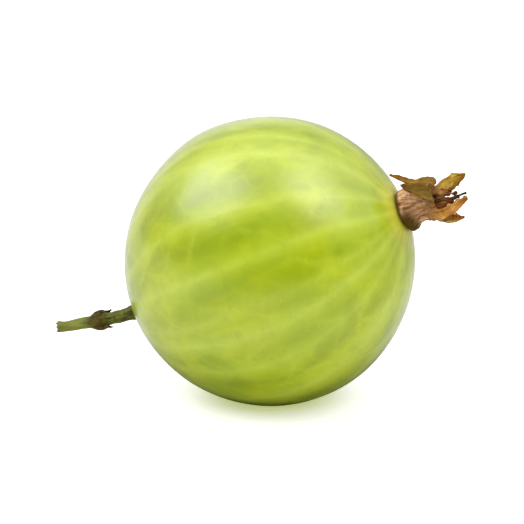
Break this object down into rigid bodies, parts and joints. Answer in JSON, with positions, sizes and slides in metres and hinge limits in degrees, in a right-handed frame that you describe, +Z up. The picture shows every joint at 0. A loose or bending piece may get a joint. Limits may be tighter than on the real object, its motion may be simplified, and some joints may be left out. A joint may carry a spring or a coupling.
{
  "type": "gooseberry",
  "caption": "Green gooseberry as picked, a striped round berry with its short stalk and its withered flower, lying on a small flat spot.",
  "frame": {"origin": "middle of the flat spot of skin that the berry rests on", "axes": "+Z up, away from the surface that the berry rests on; +X towards the withered flower, as seen from above, and -X towards the stalk"},
  "size_m": [0.0327, 0.0217, 0.0218],
  "materials": {
    "skin": "satin",
    "flower_tube": "matte",
    "sepals": "matte",
    "petals": "matte",
    "threads": "matte",
    "stalk": "satin",
    "bracts": "matte"
  },
  "bodies": {
    "root": {"berry": "skin", "flower_tube": "flower_tube", "sepal_1": "sepals", "sepal_2": "sepals", "sepal_3": "sepals", "sepal_4": "sepals", "sepal_5": "sepals", "petal_1": "petals", "petal_2": "petals", "petal_3": "petals", "petal_4": "petals", "petal_5": "petals", "stamen_1": "threads", "stamen_2": "threads", "stamen_3": "threads", "stamen_4": "threads", "stamen_5": "threads", "style": "threads", "stalk": "stalk", "bract_1": "bracts", "bract_2": "bracts"}
  },
  "joints": []
}
